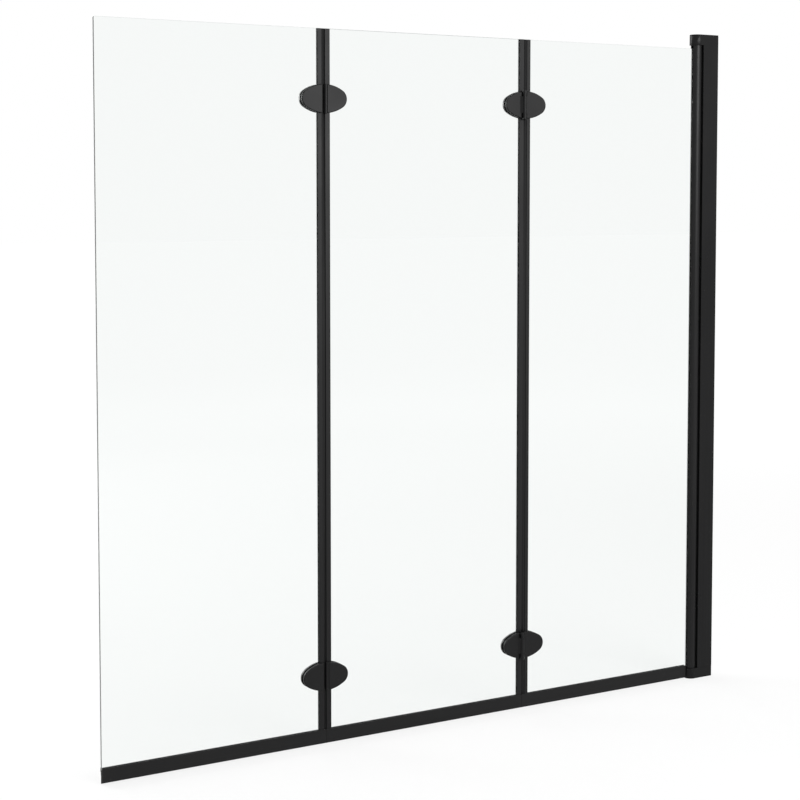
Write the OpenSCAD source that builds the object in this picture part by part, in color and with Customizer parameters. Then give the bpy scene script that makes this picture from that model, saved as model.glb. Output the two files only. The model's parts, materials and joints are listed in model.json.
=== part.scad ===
// Folding bath screen: three toughened-glass panels on a wall profile with a pivot tube.
// Origin: where the pivot axis meets the bath rim. +X runs to the wall, -Y is the side seen
// from the room, +Z is up. All sizes in millimetres.

/* [Overall] */
// Height of the wall profile, from the rim to its top
profile_h = 1300; // [900:10:1600]
// Distance from the wall to the pivot axis
wall_offset = 45; // [45:1:60]
// Width of the wall panel, pivot axis to hinge line
wall_panel_w = 415; // [300:5:500]
// Width of the middle panel, hinge line to hinge line
middle_panel_w = 420; // [300:5:500]
// Width of the outer panel, hinge line to free edge
outer_panel_w = 420; // [300:5:500]

/* [Glass] */
// Thickness of each pane
glass_t = 5; // [4:0.5:6]
// Distance from the top of the wall profile down to the top of the glass
glass_drop = 28; // [25:1:60]
// Radius of the glass corners
glass_corner_r = 2; // [1:0.5:4]

/* [Wall profile] */
// Depth of the wall profile across the glass
profile_d = 27; // [27:0.5:32]
// Wall thickness of the jamb and channel profiles
profile_wall = 1.6; // [1.2:0.1:2]
// Distance from the pivot axis to the jamb's front lips
jamb_lip_x = 8; // [6:0.5:9]
// Leg length of the hidden wall channel
channel_leg = 24; // [20:1:26]
// Wall left in the web of the wall channel
channel_web = 2; // [1.5:0.1:2.5]
// Number of wall screws
wall_screw_count = 4; // [3:1:5]
// Distance from each end of the profile to its nearest wall screw
wall_screw_end = 155; // [80:5:200]
// Radius of the wall screw holes
wall_screw_r = 3; // [2.5:0.1:3.5]

/* [Pivot] */
// Outer radius of the pivot tube
tube_r = 11; // [10.8:0.1:11.2]
// Wall thickness of the pivot tube
tube_wall = 1.5; // [1.2:0.1:1.6]
// Depth that the glass enters the pivot tube
tube_grip = 5.5; // [5:0.1:6]
// Height of the bearing blocks at both ends
block_h = 21; // [18:0.5:24]
// Radius of the spigot that turns in the bush
spigot_r = 3.5; // [3:0.1:4]
// Length of the spigot inside the block
spigot_l = 13; // [8:0.5:14]
// Wall of the bearing bush
bush_wall = 2; // [1.5:0.1:2.5]
// Thickness of the cover plate on the upper block
cover_plate_t = 2; // [1:0.5:3]

/* [Edge profiles and seals] */
// Width of the plain profiles on the middle panel
middle_edge_w = 9.5; // [8:0.5:11]
// Width of the profiles that carry a seal
seal_edge_w = 7.5; // [6:0.5:9]
// Depth of the edge profiles across the glass
edge_d = 8; // [8:0.1:8.6]
// Thickness of the web behind each glass edge
edge_web = 1.5; // [1:0.1:1.8]
// Length of each profile end that runs in under a hinge cover
edge_under = 5; // [4:0.5:7]
// Width of the bulb seal
seal_w = 5.5; // [5:0.1:5.8]
// Depth of the bulb seal
seal_d = 5.6; // [5:0.1:6]
// Gap at each hinge line
line_gap = 1.5; // [1:0.1:2]

/* [Bottom rail] */
// Height of the rail's front face
rail_h = 24; // [24:0.5:30]
// Height of the rail's lower edge over the bath rim
rail_lift = 3; // [2:0.5:5]
// Depth of the rail across the glass
rail_d = 9; // [8.6:0.1:9.4]
// Depth of the pocket that holds the glass
rail_pocket = 5.5; // [4.5:0.1:6]
// Gap between the ends of two rails
rail_gap = 1; // [0.8:0.1:2]

/* [Hinges] */
// Length of the oval hinge cover
cover_l = 88.5; // [82:0.5:93]
// Height of the oval hinge cover
cover_h = 51; // [46:0.5:54]
// Radius of the oval's ends
cover_end_r = 17.5; // [16:0.5:19]
// Thickness of each cover plate
cover_t = 5.2; // [5:0.1:5.4]
// Radius of the rounded rim of each cover
cover_round = 1.5; // [1:0.1:2.5]
// Distance of the oval's centre from the hinge line
cover_shift = 2; // [1.5:0.25:3]
// Thickness of the gaskets between plate and glass
gasket_t = 0.8; // [0.5:0.1:1]
// Gap left in front of the wall profile when the middle panel is folded
fold_gap = 1; // [0.8:0.1:1.5]
// Distance of the pivot axis from the hinge line
pivot_shift = 4; // [4:0.1:4.4]
// Radius of the hinge barrel
barrel_r = 3.75; // [3.6:0.05:3.8]
// Length of the hinge barrel
barrel_l = 53.5; // [52:0.5:56]
// Length of the middle knuckle
knuckle_l = 31; // [27:0.5:34]
// Radius of the hinge pin
pin_r = 1.75; // [1.5:0.05:1.8]
// Wall of the bush in the middle knuckle
hinge_bush_wall = 0.8; // [0.7:0.05:0.9]
// Radius of the bead on the closing side
bead_r = 3.5; // [3:0.1:3.5]
// Distance of the bead from the hinge line
bead_shift = 1.5; // [1:0.1:2]
// Distance of the seal panel's closing plate from the hinge line
closing_edge = 7.5; // [6.5:0.1:8]
// Distance from the glass edge to the clamp screws
screw_inset = 19; // [18:0.5:20]
// Height of the clamp screws over the hinge's middle
screw_z = 10; // [9:0.5:11]
// Radius of the clamp screw's shank
screw_r = 2.5; // [2:0.1:2.5]
// Radius of the clamp screw's head
screw_head_r = 4.6; // [4.2:0.1:4.8]
// Distance from the top of the glass to the upper hinge
upper_hinge_drop = 122; // [100:1:250]
// Distance from the rim to the lower hinge
lower_hinge_z = 124; // [100:1:250]

/* [Hidden] */
$fn = 64;
e = 0.01;

// clearances
bond = 0.2;          // adhesive line around the glass in profiles and rails
run = 0.05;          // radial running clearance of a spigot or pin in its bush
part_gap = 0.3;      // clearance between profiles that slide together
knuckle_gap = 0.4;   // end clearance between knuckles
plate_gap = 0.8;     // split between two pivot-side plates
sweep_gap = 0.75;    // clearance round a turning knuckle
nose_gap = 1;        // clearance between the bearing block's nose and the wall rail
end_gap = 0.5;       // clearance between tube and bearing block
flange_t = 0.4;      // thrust flange of the bush, a little under end_gap

// places along X
wall_x = wall_offset;
right_line_x = -wall_panel_w;
left_line_x = right_line_x - middle_panel_w;
free_x = left_line_x - outer_panel_w;

// heights
half_d = profile_d / 2;
rail_top = rail_lift + rail_h;
rail_web_top = rail_top - rail_pocket;
rail_web_t = 2;
glass_bottom = max(rail_web_top, block_h + end_gap) + part_gap;
glass_top = profile_h - glass_drop;
jamb_bottom = block_h;
jamb_top = profile_h - block_h;
upper_hinge_z = glass_top - upper_hinge_drop;
hinge_heights = [lower_hinge_z, upper_hinge_z];

// glass edges, as distances from the hinge line
middle_glass_edge = line_gap / 2 + edge_web + bond;
seal_glass_edge = line_gap / 2 + seal_w + edge_web + bond;
tube_glass_edge = tube_r - tube_grip;
half_glass = glass_t / 2;

// hinge covers
plate_in = half_glass + gasket_t;
plate_out = plate_in + cover_t;
end_c = cover_l / 2 - cover_end_r;
side_k = (end_c * end_c - pow(cover_h / 2 - cover_end_r, 2)) / (2 * (cover_h / 2 - cover_end_r));
side_r = cover_h / 2 + side_k;
tangent_a = atan2(side_k, end_c);
pivot_d = (half_d + fold_gap + plate_out) / 2;
pivot_w = pivot_d - plate_in;
middle_hole_x = -(middle_glass_edge + screw_inset);
seal_hole_x = seal_glass_edge + screw_inset;
bush_r = pin_r + run + hinge_bush_wall;
cut_h = cover_h / 2 - edge_under;
under_t = edge_d / 2 + part_gap - plate_in;
sleeve_r = screw_r + 2.7;
gasket_inset = 1.2;

// pivot
seat_r = tube_r + 0.8;
seat_wall = 1.5;
bore_r = spigot_r + run + bush_wall;
nose_r = half_d;
tube_side_gasket = 1;
tube_back_gasket = 0.8;
pocket_half = half_glass + tube_side_gasket;
pocket_back = tube_glass_edge - tube_back_gasket;
rib_t = 1.3;
plug_l = 22;
clamp_screw_r = 2;
clamp_head_r = 3.6;
clamp_screw_x = wall_x - 14;
tongue_l = 12;
tongue_x = [seat_r + seat_wall + 0.6, wall_x - channel_leg - 0.6];
block_screw_x = (tongue_x[0] + tongue_x[1]) / 2;
wall_screw_pitch = (profile_h - 2 * wall_screw_end) / (wall_screw_count - 1);
wall_screw_z = [for (i = [0 : wall_screw_count - 1]) wall_screw_end + i * wall_screw_pitch];

black = [0.09, 0.09, 0.095];
soft_black = [0.04, 0.04, 0.045];
glass_tint = [0.86, 0.93, 0.91, 0.35];
steel = [0.62, 0.62, 0.64];

// ---------------------------------------------------------------- placing

// Each hinge is drawn in its own frame: the middle panel lies on -X, the panel that carries
// the seal on +X, and the pivot on -Y. The left hinge is the right one turned half round.
module at_right_line() {
    translate([right_line_x, 0, 0]) children();
}

module at_left_line() {
    translate([left_line_x, 0, 0]) rotate([0, 0, 180]) children();
}

// Lays a shape drawn in X-Y with its depth along +Z upright against one face of the glass,
// starting at the given distance from the middle plane. s is -1 for -Y and 1 for +Y.
module on_face(s, from) {
    scale([1, -s, 1]) translate([0, -from, 0]) rotate([90, 0, 0]) children();
}

// A box given by its lowest and highest corner.
module block(low, high) {
    translate(low) cube(high - low);
}

// ---------------------------------------------------------------- wall profile

module channel_section() {
    half = half_d - profile_wall - part_gap;
    difference() {
        translate([wall_x - channel_leg, -half]) square([channel_leg, 2 * half]);
        translate([wall_x - channel_leg - e, -half + profile_wall])
            square([channel_leg - channel_web + e, 2 * (half - profile_wall)]);
    }
}

module wall_channel() {
    margin = 19;
    color(black) difference() {
        translate([0, 0, jamb_bottom + margin])
            linear_extrude(jamb_top - jamb_bottom - 2 * margin) channel_section();
        for (z = wall_screw_z) {
            translate([wall_x - channel_web - 1, 0, z]) rotate([0, 90, 0])
                cylinder(r = wall_screw_r, h = channel_web + 2);
            translate([clamp_screw_x, half_d - 6, z]) rotate([-90, 0, 0])
                cylinder(r = clamp_screw_r, h = 8);
        }
    }
}

module jamb_section() {
    inner = half_d - profile_wall;
    difference() {
        translate([jamb_lip_x, -half_d]) square([wall_x - jamb_lip_x, profile_d]);
        difference() {
            translate([jamb_lip_x + profile_wall, -inner])
                square([wall_x - jamb_lip_x, 2 * inner]);
            circle(seat_r + seat_wall);
        }
        circle(seat_r);
    }
}

module jamb_profile() {
    color(black) difference() {
        translate([0, 0, jamb_bottom]) linear_extrude(jamb_top - jamb_bottom) jamb_section();
        for (z = wall_screw_z)
            translate([clamp_screw_x, half_d - profile_wall - 1, z]) rotate([-90, 0, 0])
                cylinder(r = clamp_screw_r + 0.2, h = profile_wall + 2);
        for (z = [jamb_bottom + tongue_l / 2, jamb_top - tongue_l / 2])
            translate([block_screw_x, half_d - profile_wall - 1, z]) rotate([-90, 0, 0])
                cylinder(r = clamp_screw_r + 0.2, h = profile_wall + 2);
    }
}

// Two thin strips that close the slit between the tube and its seat.
module jamb_wipers() {
    color(soft_black) for (s = [-1, 1])
        translate([0, 0, jamb_bottom]) linear_extrude(jamb_top - jamb_bottom) difference() {
            intersection() {
                circle(seat_r - 0.1);
                translate([jamb_lip_x + 1, s > 0 ? 4 : -8]) square([8, 4]);
            }
            circle(tube_r + part_gap);
        }
}

// The block's D-shaped outline, with its round nose about the pivot axis.
module block_outline() {
    circle(nose_r);
    translate([0, -half_d]) square([wall_x, profile_d]);
}

// Bearing block for the lower end; the upper one is its mirror image.
module bearing_block(h) {
    inner = half_d - profile_wall - part_gap;
    difference() {
        union() {
            linear_extrude(h) block_outline();
            block([tongue_x[0], -inner, h - e], [tongue_x[1], inner, h + tongue_l]);
        }
        translate([0, 0, h - spigot_l - 1]) cylinder(r = bore_r, h = spigot_l + 2);
        translate([block_screw_x, 3, h + tongue_l / 2]) rotate([-90, 0, 0])
            cylinder(r = clamp_screw_r, h = inner);
    }
}

module lower_bearing_block() {
    color(black) bearing_block(block_h);
}

module upper_bearing_block() {
    color(black) translate([0, 0, profile_h - cover_plate_t]) mirror([0, 0, 1])
        bearing_block(block_h - cover_plate_t);
}

// Flanged bush that carries the spigot and the tube's weight.
module bearing_bush(h) {
    difference() {
        union() {
            translate([0, 0, h - spigot_l - 1]) cylinder(r = bore_r, h = spigot_l + 1);
            translate([0, 0, h]) cylinder(r = bore_r + 2, h = flange_t);
        }
        translate([0, 0, h - spigot_l]) cylinder(r = spigot_r + run, h = spigot_l + 2);
    }
}

module lower_bearing_bush() {
    color(soft_black) bearing_bush(block_h);
}

module upper_bearing_bush() {
    color(soft_black) translate([0, 0, profile_h - cover_plate_t]) mirror([0, 0, 1])
        bearing_bush(block_h - cover_plate_t);
}

module top_cover_plate() {
    color(black) translate([0, 0, profile_h - cover_plate_t]) linear_extrude(cover_plate_t)
        block_outline();
}

// A pan-head screw along +Y, its head outside the jamb's back face.
module side_screw(depth) {
    head_t = 1.5;
    rotate([90, 0, 0]) {
        difference() {
            translate([0, 0, -head_t]) cylinder(r = clamp_head_r, h = head_t);
            translate([0, 0, -head_t - e]) cylinder(r = 1.3, h = 1, $fn = 6);
        }
        cylinder(r = clamp_screw_r, h = depth);
    }
}

module jamb_clamp_screws() {
    color(black) for (z = wall_screw_z)
        translate([clamp_screw_x, half_d, z]) side_screw(profile_wall * 2 + part_gap + 1);
}

module block_screws() {
    color(black) for (z = [jamb_bottom + tongue_l / 2, jamb_top - tongue_l / 2])
        translate([block_screw_x, half_d, z]) side_screw(profile_wall + part_gap + 6);
}

// ---------------------------------------------------------------- pivot tube

tube_bottom = block_h + end_gap;
tube_top = profile_h - block_h - end_gap;

module tube_section() {
    inner_r = tube_r - tube_wall;
    rib_x = -pocket_back + rib_t;
    difference() {
        union() {
            difference() {
                circle(tube_r);
                circle(inner_r);
            }
            intersection() {
                circle(tube_r - tube_wall / 2);
                translate([-tube_r, -pocket_half - rib_t])
                    square([rib_x + tube_r, 2 * (pocket_half + rib_t)]);
            }
        }
        translate([-tube_r - 1, -pocket_half]) square([tube_r + 1 - pocket_back, 2 * pocket_half]);
    }
}

module pivot_tube() {
    color(black) translate([0, 0, tube_bottom]) linear_extrude(tube_top - tube_bottom)
        tube_section();
}

// Plug inside the tube's end with the spigot that turns in the bush.
module spigot(h) {
    plug_r = tube_r - tube_wall - 0.1;
    plug_x = -pocket_back + rib_t + 0.2;
    intersection() {
        translate([0, 0, h]) cylinder(r = plug_r, h = plug_l);
        block([plug_x, -plug_r - 1, h - 1], [plug_r + 1, plug_r + 1, h + plug_l + 1]);
    }
    translate([0, 0, block_h - spigot_l + 0.3]) cylinder(r = spigot_r, h = h - block_h + spigot_l);
}

module lower_spigot() {
    color(steel) spigot(tube_bottom);
}

module upper_spigot() {
    color(steel) translate([0, 0, profile_h]) mirror([0, 0, 1]) spigot(tube_bottom);
}

module tube_gasket() {
    bottom = max(tube_bottom, glass_bottom);
    color(soft_black) translate([0, 0, bottom]) linear_extrude(glass_top - bottom) difference() {
        translate([-tube_r + 0.4, -pocket_half]) square([tube_r - 0.4 - pocket_back, 2 * pocket_half]);
        translate([-tube_r - 1, -half_glass]) square([tube_r + 1 - tube_glass_edge, glass_t]);
    }
}

// ---------------------------------------------------------------- glass panes

module pane(x0, x1) {
    r = glass_corner_r;
    rotate([90, 0, 0]) translate([0, 0, -half_glass]) linear_extrude(glass_t) union() {
        translate([x0 + r, glass_bottom]) square([x1 - x0 - 2 * r, glass_top - glass_bottom]);
        translate([x0, glass_bottom + r]) square([x1 - x0, glass_top - glass_bottom - 2 * r]);
        for (x = [x0 + r, x1 - r], z = [glass_bottom + r, glass_top - r])
            translate([x, z]) circle(r);
    }
}

// Clamp screw holes at one x of both hinges.
module pane_holes(x) {
    for (z = hinge_heights, s = [-1, 1]) translate([x, half_glass + 1, z + s * screw_z])
        rotate([90, 0, 0]) cylinder(r = sleeve_r + 0.1, h = glass_t + 2);
}

module wall_glass() {
    color(glass_tint) difference() {
        pane(right_line_x + seal_glass_edge, -tube_glass_edge);
        pane_holes(right_line_x + seal_hole_x);
    }
}

module middle_glass() {
    color(glass_tint) difference() {
        pane(left_line_x + middle_glass_edge, right_line_x - middle_glass_edge);
        pane_holes(left_line_x - middle_hole_x);
        pane_holes(right_line_x + middle_hole_x);
    }
}

module outer_glass() {
    color(glass_tint) difference() {
        pane(free_x, left_line_x - seal_glass_edge);
        pane_holes(left_line_x - seal_hole_x);
    }
}

// ---------------------------------------------------------------- edge profiles and seals

// The stretches of an upright edge left between rail, hinges and glass top.
edge_spans = [[rail_top, lower_hinge_z - cut_h], [lower_hinge_z + cut_h, upper_hinge_z - cut_h],
    [upper_hinge_z + cut_h, glass_top]];

module along_edge() {
    for (span = edge_spans) translate([0, 0, span[0]]) linear_extrude(span[1] - span[0])
        children();
}

// Room for the profile ends in the upper and lower rim of a plate or gasket, between two
// distances from the hinge line and up to depth t.
module under_notch(x0, x1, t) {
    start = cut_h - part_gap;
    for (m = [0, 1]) mirror([0, m, 0]) translate([x0 - part_gap, start, -1])
        cube([x1 - x0 + 2 * part_gap, cover_h - start, 1 + t]);
}

module middle_notch(t) {
    under_notch(-line_gap / 2 - middle_edge_w, 0, t);
}

module seal_notch(t) {
    start = line_gap / 2 + seal_w;
    under_notch(start, start + seal_edge_w, t);
}

// U-section that holds the glass edge; open towards -X, web at x1.
module edge_section(x0, x1) {
    half = edge_d / 2;
    pocket = half_glass + bond;
    difference() {
        translate([x0, -half]) square([x1 - x0, edge_d]);
        translate([x0 - 1, -pocket]) square([x1 - x0 + 1 - edge_web, 2 * pocket]);
    }
}

module middle_profile() {
    color(black) along_edge() edge_section(-line_gap / 2 - middle_edge_w, -line_gap / 2);
}

module seal_profile() {
    start = line_gap / 2 + seal_w;
    color(black) along_edge() mirror([1, 0, 0]) edge_section(-start - seal_edge_w, -start);
}

module bulb_seal() {
    start = line_gap / 2;
    r = seal_d / 2;
    color(soft_black) translate([0, 0, rail_top]) linear_extrude(glass_top - rail_top) difference() {
        intersection() {
            union() {
                translate([start + r, 0]) circle(r);
                translate([start + r, -r]) square([seal_w, seal_d]);
            }
            translate([start, -seal_d]) square([seal_w, 2 * seal_d]);
        }
        translate([start + r, 0]) circle(r - 1.2);
    }
}

module wall_edge_profile() { at_right_line() seal_profile(); }
module outer_edge_profile() { at_left_line() seal_profile(); }
module middle_right_profile() { at_right_line() middle_profile(); }
module middle_left_profile() { at_left_line() middle_profile(); }
module wall_edge_seal() { at_right_line() bulb_seal(); }
module outer_edge_seal() { at_left_line() bulb_seal(); }

// ---------------------------------------------------------------- bottom rails

// Section seen along X: a full front face, a short back wall and a web under the glass.
module rail_section() {
    half = rail_d / 2;
    pocket = half_glass + bond;
    web_bottom = rail_web_top - rail_web_t;
    translate([-half, rail_lift]) square([half - pocket, rail_h]);
    translate([pocket, web_bottom]) square([half - pocket, rail_top - web_bottom]);
    translate([-half + e, web_bottom]) square([rail_d - 2 * e, rail_web_t]);
}

// Rubber strip under the web, with a thin lip down to the bath rim.
module drip_section() {
    pocket = half_glass + bond;
    web_bottom = rail_web_top - rail_web_t;
    lip_x = -0.4;
    lip_t = 1.4;
    polygon([[-pocket, web_bottom], [pocket, web_bottom], [pocket, web_bottom - 4],
        [lip_x + lip_t + 0.6, web_bottom - 6], [lip_x + lip_t + 1.2, part_gap],
        [lip_x + 1.2, part_gap], [lip_x, web_bottom - 6], [-pocket, web_bottom - 4]]);
}

module along_rail(x0, x1) {
    translate([x0, 0, 0]) rotate([90, 0, 90]) linear_extrude(x1 - x0) children();
}

wall_rail_x = [right_line_x + rail_gap / 2, -nose_r - nose_gap];
middle_rail_x = [left_line_x + rail_gap / 2, right_line_x - rail_gap / 2];
outer_rail_x = [free_x, left_line_x - rail_gap / 2];

module wall_rail() { color(black) along_rail(wall_rail_x[0], wall_rail_x[1]) rail_section(); }
module middle_rail() { color(black) along_rail(middle_rail_x[0], middle_rail_x[1]) rail_section(); }
module outer_rail() { color(black) along_rail(outer_rail_x[0], outer_rail_x[1]) rail_section(); }

module wall_drip_seal() {
    color(soft_black) along_rail(wall_rail_x[0], wall_rail_x[1]) drip_section();
}

module middle_drip_seal() {
    color(soft_black) along_rail(middle_rail_x[0], middle_rail_x[1]) drip_section();
}

module outer_drip_seal() {
    color(soft_black) along_rail(outer_rail_x[0], outer_rail_x[1]) drip_section();
}

// ---------------------------------------------------------------- hinge covers

// Half section of a disc with a rounded outer rim.
module rim_section(r) {
    difference() {
        square([r, cover_t]);
        difference() {
            translate([r - cover_round, cover_t - cover_round]) square(cover_round + 1);
            translate([r - cover_round, cover_t - cover_round]) circle(cover_round);
        }
    }
}

// The whole oval with its rounded rim towards +Z. Its four arcs meet within a few degrees
// of tangent: the end discs reach just past the long arcs, so that they cross cleanly.
module oval_cover() {
    arc_lap = 0.1;
    joint_x = end_c + cover_end_r * cos(tangent_a);
    intersection() {
        translate([0, -side_k, 0]) rotate_extrude() rim_section(side_r);
        translate([0, side_k, 0]) rotate_extrude() rim_section(side_r);
        translate([-joint_x, -cover_h, 0]) cube([2 * joint_x, 2 * cover_h, cover_t]);
    }
    for (s = [-1, 1]) translate([s * (end_c - arc_lap), 0, 0])
        rotate_extrude() rim_section(cover_end_r + arc_lap);
}

// The part of the oval between two distances from the hinge line.
module cover_between(x0, x1) {
    intersection() {
        translate([cover_shift, 0, 0]) oval_cover();
        translate([x0, -cover_h, 0]) cube([x1 - x0, 2 * cover_h, cover_t]);
    }
}

// Screw holes of one plate: countersunk through holes, or blind ones for the thread.
module plate_holes(x, countersunk) {
    for (s = [-1, 1]) translate([x, s * screw_z, 0]) if (countersunk) {
        translate([0, 0, -1]) cylinder(r = screw_r + 0.25, h = cover_t + 2);
        translate([0, 0, cover_t - 2.2]) cylinder(r1 = screw_r + 0.25, r2 = screw_head_r + 0.25,
            h = 2.2 + e);
    } else {
        translate([0, 0, -1]) cylinder(r = screw_r, h = 1 + cover_t - 1.6);
    }
}

// Knuckle along the plate's upright, from y0 to y1, with its bridge to one side.
module knuckle(y0, y1, side) {
    reach = pivot_shift + barrel_r + 0.25;
    translate([-pivot_shift, y0, pivot_w]) rotate([-90, 0, 0]) cylinder(r = barrel_r, h = y1 - y0);
    translate([-pivot_shift, y1, 0]) rotate([90, 0, 0]) linear_extrude(y1 - y0)
        polygon([[0, pivot_w + barrel_r], [side * reach, cover_t],
            [side * reach, cover_t - 1.5], [0, pivot_w - barrel_r]]);
}

module pin_bore(r) {
    translate([-pivot_shift, -barrel_l, pivot_w]) rotate([-90, 0, 0])
        cylinder(r = r, h = 2 * barrel_l);
}

// Pivot-side plate of the middle panel: one long knuckle with the bush in it.
module middle_pivot_plate(countersunk) {
    relief_x = -pivot_shift - barrel_r - sweep_gap;
    difference() {
        union() {
            difference() {
                cover_between(-cover_l, -plate_gap / 2);
                middle_notch(under_t);
                for (s = [-1, 1]) translate([relief_x, s > 0 ? knuckle_l / 2 : -cover_h,
                        pivot_w - barrel_r - sweep_gap])
                    cube([cover_l, cover_h - knuckle_l / 2, cover_t]);
            }
            knuckle(-knuckle_l / 2, knuckle_l / 2, -1);
        }
        pin_bore(bush_r);
        plate_holes(middle_hole_x, countersunk);
    }
}

// Pivot-side plate of the panel with the seal: a short knuckle at each end.
module seal_pivot_plate(countersunk) {
    difference() {
        union() {
            cover_between(plate_gap / 2, cover_l);
            knuckle(-barrel_l / 2, -knuckle_l / 2 - knuckle_gap, 1);
            knuckle(knuckle_l / 2 + knuckle_gap, barrel_l / 2, 1);
        }
        seal_notch(under_t);
        pin_bore(pin_r);
        plate_holes(seal_hole_x, countersunk);
    }
}

// Closing-side plate of the middle panel, with a half-round bead along its edge.
module middle_closing_plate(countersunk) {
    bead_h = cover_h + 0.4;
    difference() {
        union() {
            cover_between(-cover_l, -bead_shift - bead_r * 0.7);
            intersection() {
                translate([-bead_shift, -bead_h / 2, cover_t - bead_r]) rotate([-90, 0, 0])
                    cylinder(r = bead_r, h = bead_h);
                translate([-cover_l, -cover_h, 0]) cube([2 * cover_l, 2 * cover_h, cover_t + 1]);
            }
        }
        middle_notch(under_t);
        plate_holes(middle_hole_x, countersunk);
    }
}

module seal_closing_plate(countersunk) {
    difference() {
        cover_between(closing_edge, cover_l);
        seal_notch(under_t);
        plate_holes(seal_hole_x, countersunk);
    }
}

// Screws go in from the back. At the right line the pivot is in front, at the left behind.
module right_plate(z, s, middle) {
    color(black) at_right_line() translate([0, 0, z]) on_face(s, plate_in)
        if (s < 0 && middle) middle_pivot_plate(false);
        else if (s < 0) seal_pivot_plate(false);
        else if (middle) middle_closing_plate(true);
        else seal_closing_plate(true);
}

module left_plate(z, s, middle) {
    color(black) at_left_line() translate([0, 0, z]) on_face(s, plate_in)
        if (s < 0 && middle) middle_pivot_plate(true);
        else if (s < 0) seal_pivot_plate(true);
        else if (middle) middle_closing_plate(false);
        else seal_closing_plate(false);
}

module wall_lower_front_plate() { right_plate(lower_hinge_z, -1, false); }
module wall_lower_back_plate() { right_plate(lower_hinge_z, 1, false); }
module wall_upper_front_plate() { right_plate(upper_hinge_z, -1, false); }
module wall_upper_back_plate() { right_plate(upper_hinge_z, 1, false); }
module middle_right_lower_front_plate() { right_plate(lower_hinge_z, -1, true); }
module middle_right_lower_back_plate() { right_plate(lower_hinge_z, 1, true); }
module middle_right_upper_front_plate() { right_plate(upper_hinge_z, -1, true); }
module middle_right_upper_back_plate() { right_plate(upper_hinge_z, 1, true); }
module middle_left_lower_front_plate() { left_plate(lower_hinge_z, 1, true); }
module middle_left_lower_back_plate() { left_plate(lower_hinge_z, -1, true); }
module middle_left_upper_front_plate() { left_plate(upper_hinge_z, 1, true); }
module middle_left_upper_back_plate() { left_plate(upper_hinge_z, -1, true); }
module outer_lower_front_plate() { left_plate(lower_hinge_z, 1, false); }
module outer_lower_back_plate() { left_plate(lower_hinge_z, -1, false); }
module outer_upper_front_plate() { left_plate(upper_hinge_z, 1, false); }
module outer_upper_back_plate() { left_plate(upper_hinge_z, -1, false); }

// ---------------------------------------------------------------- gaskets, screws, pins

// Flat oval outline, smaller than the cover all round.
module oval_outline(inset) {
    tangent_x = end_c + (cover_end_r - inset) * cos(tangent_a);
    intersection() {
        translate([0, -side_k]) circle(side_r - inset);
        translate([0, side_k]) circle(side_r - inset);
        translate([-tangent_x, -cover_h]) square([2 * tangent_x, 2 * cover_h]);
    }
    for (s = [-1, 1]) translate([s * end_c, 0]) circle(cover_end_r - inset);
}

// Gasket between two distances from the hinge line, with sleeves into the glass holes.
module gasket(x0, x1, hole_x, side) {
    sleeve_l = half_glass - part_gap / 2;
    difference() {
        union() {
            linear_extrude(gasket_t) intersection() {
                translate([cover_shift, 0]) oval_outline(gasket_inset);
                translate([x0, -cover_h]) square([x1 - x0, 2 * cover_h]);
            }
            for (s = [-1, 1]) translate([hole_x, s * screw_z, -sleeve_l])
                cylinder(r = sleeve_r, h = sleeve_l + e);
        }
        if (side < 0) middle_notch(gasket_t + 1);
        else seal_notch(gasket_t + 1);
        for (s = [-1, 1]) translate([hole_x, s * screw_z, -half_glass - 1])
            cylinder(r = screw_r + 0.1, h = half_glass + gasket_t + 2);
    }
}

module middle_gaskets() {
    color(soft_black) for (z = hinge_heights, s = [-1, 1]) translate([0, 0, z])
        on_face(s, half_glass) gasket(-cover_l, -middle_glass_edge, middle_hole_x, -1);
}

module seal_gaskets() {
    color(soft_black) for (z = hinge_heights, s = [-1, 1]) translate([0, 0, z])
        on_face(s, half_glass) gasket(seal_glass_edge, cover_l, seal_hole_x, 1);
}

module wall_hinge_gaskets() { at_right_line() seal_gaskets(); }
module middle_right_hinge_gaskets() { at_right_line() middle_gaskets(); }
module middle_left_hinge_gaskets() { at_left_line() middle_gaskets(); }
module outer_hinge_gaskets() { at_left_line() seal_gaskets(); }

// Countersunk screw whose head lies in the plate on side s.
module clamp_screw(s) {
    head_top = plate_out - 0.2;
    head_l = 2.1;
    tip = plate_in + cover_t - 1.9;
    scale([1, -s, 1]) rotate([90, 0, 0]) difference() {
        union() {
            translate([0, 0, head_top - head_l])
                cylinder(r1 = screw_r, r2 = screw_head_r, h = head_l);
            translate([0, 0, -tip]) cylinder(r = screw_r, h = tip + head_top - head_l + e);
        }
        translate([0, 0, head_top - 1.8]) cylinder(r = 1.7, h = 2, $fn = 6);
    }
}

module clamp_screws(x, s) {
    color(steel) for (z = hinge_heights, m = [-1, 1]) translate([x, 0, z + m * screw_z])
        clamp_screw(s);
}

module wall_hinge_screws() { at_right_line() clamp_screws(seal_hole_x, 1); }
module middle_right_hinge_screws() { at_right_line() clamp_screws(middle_hole_x, 1); }
module middle_left_hinge_screws() { at_left_line() clamp_screws(middle_hole_x, -1); }
module outer_hinge_screws() { at_left_line() clamp_screws(seal_hole_x, -1); }

module hinge_pin(z) {
    color(steel) translate([-pivot_shift, -pivot_d, z - barrel_l / 2])
        cylinder(r = pin_r, h = barrel_l);
}

module hinge_bushes() {
    color(soft_black) for (z = hinge_heights)
        translate([-pivot_shift, -pivot_d, z - knuckle_l / 2]) difference() {
            cylinder(r = bush_r, h = knuckle_l);
            translate([0, 0, -1]) cylinder(r = pin_r + run, h = knuckle_l + 2);
        }
}

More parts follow.
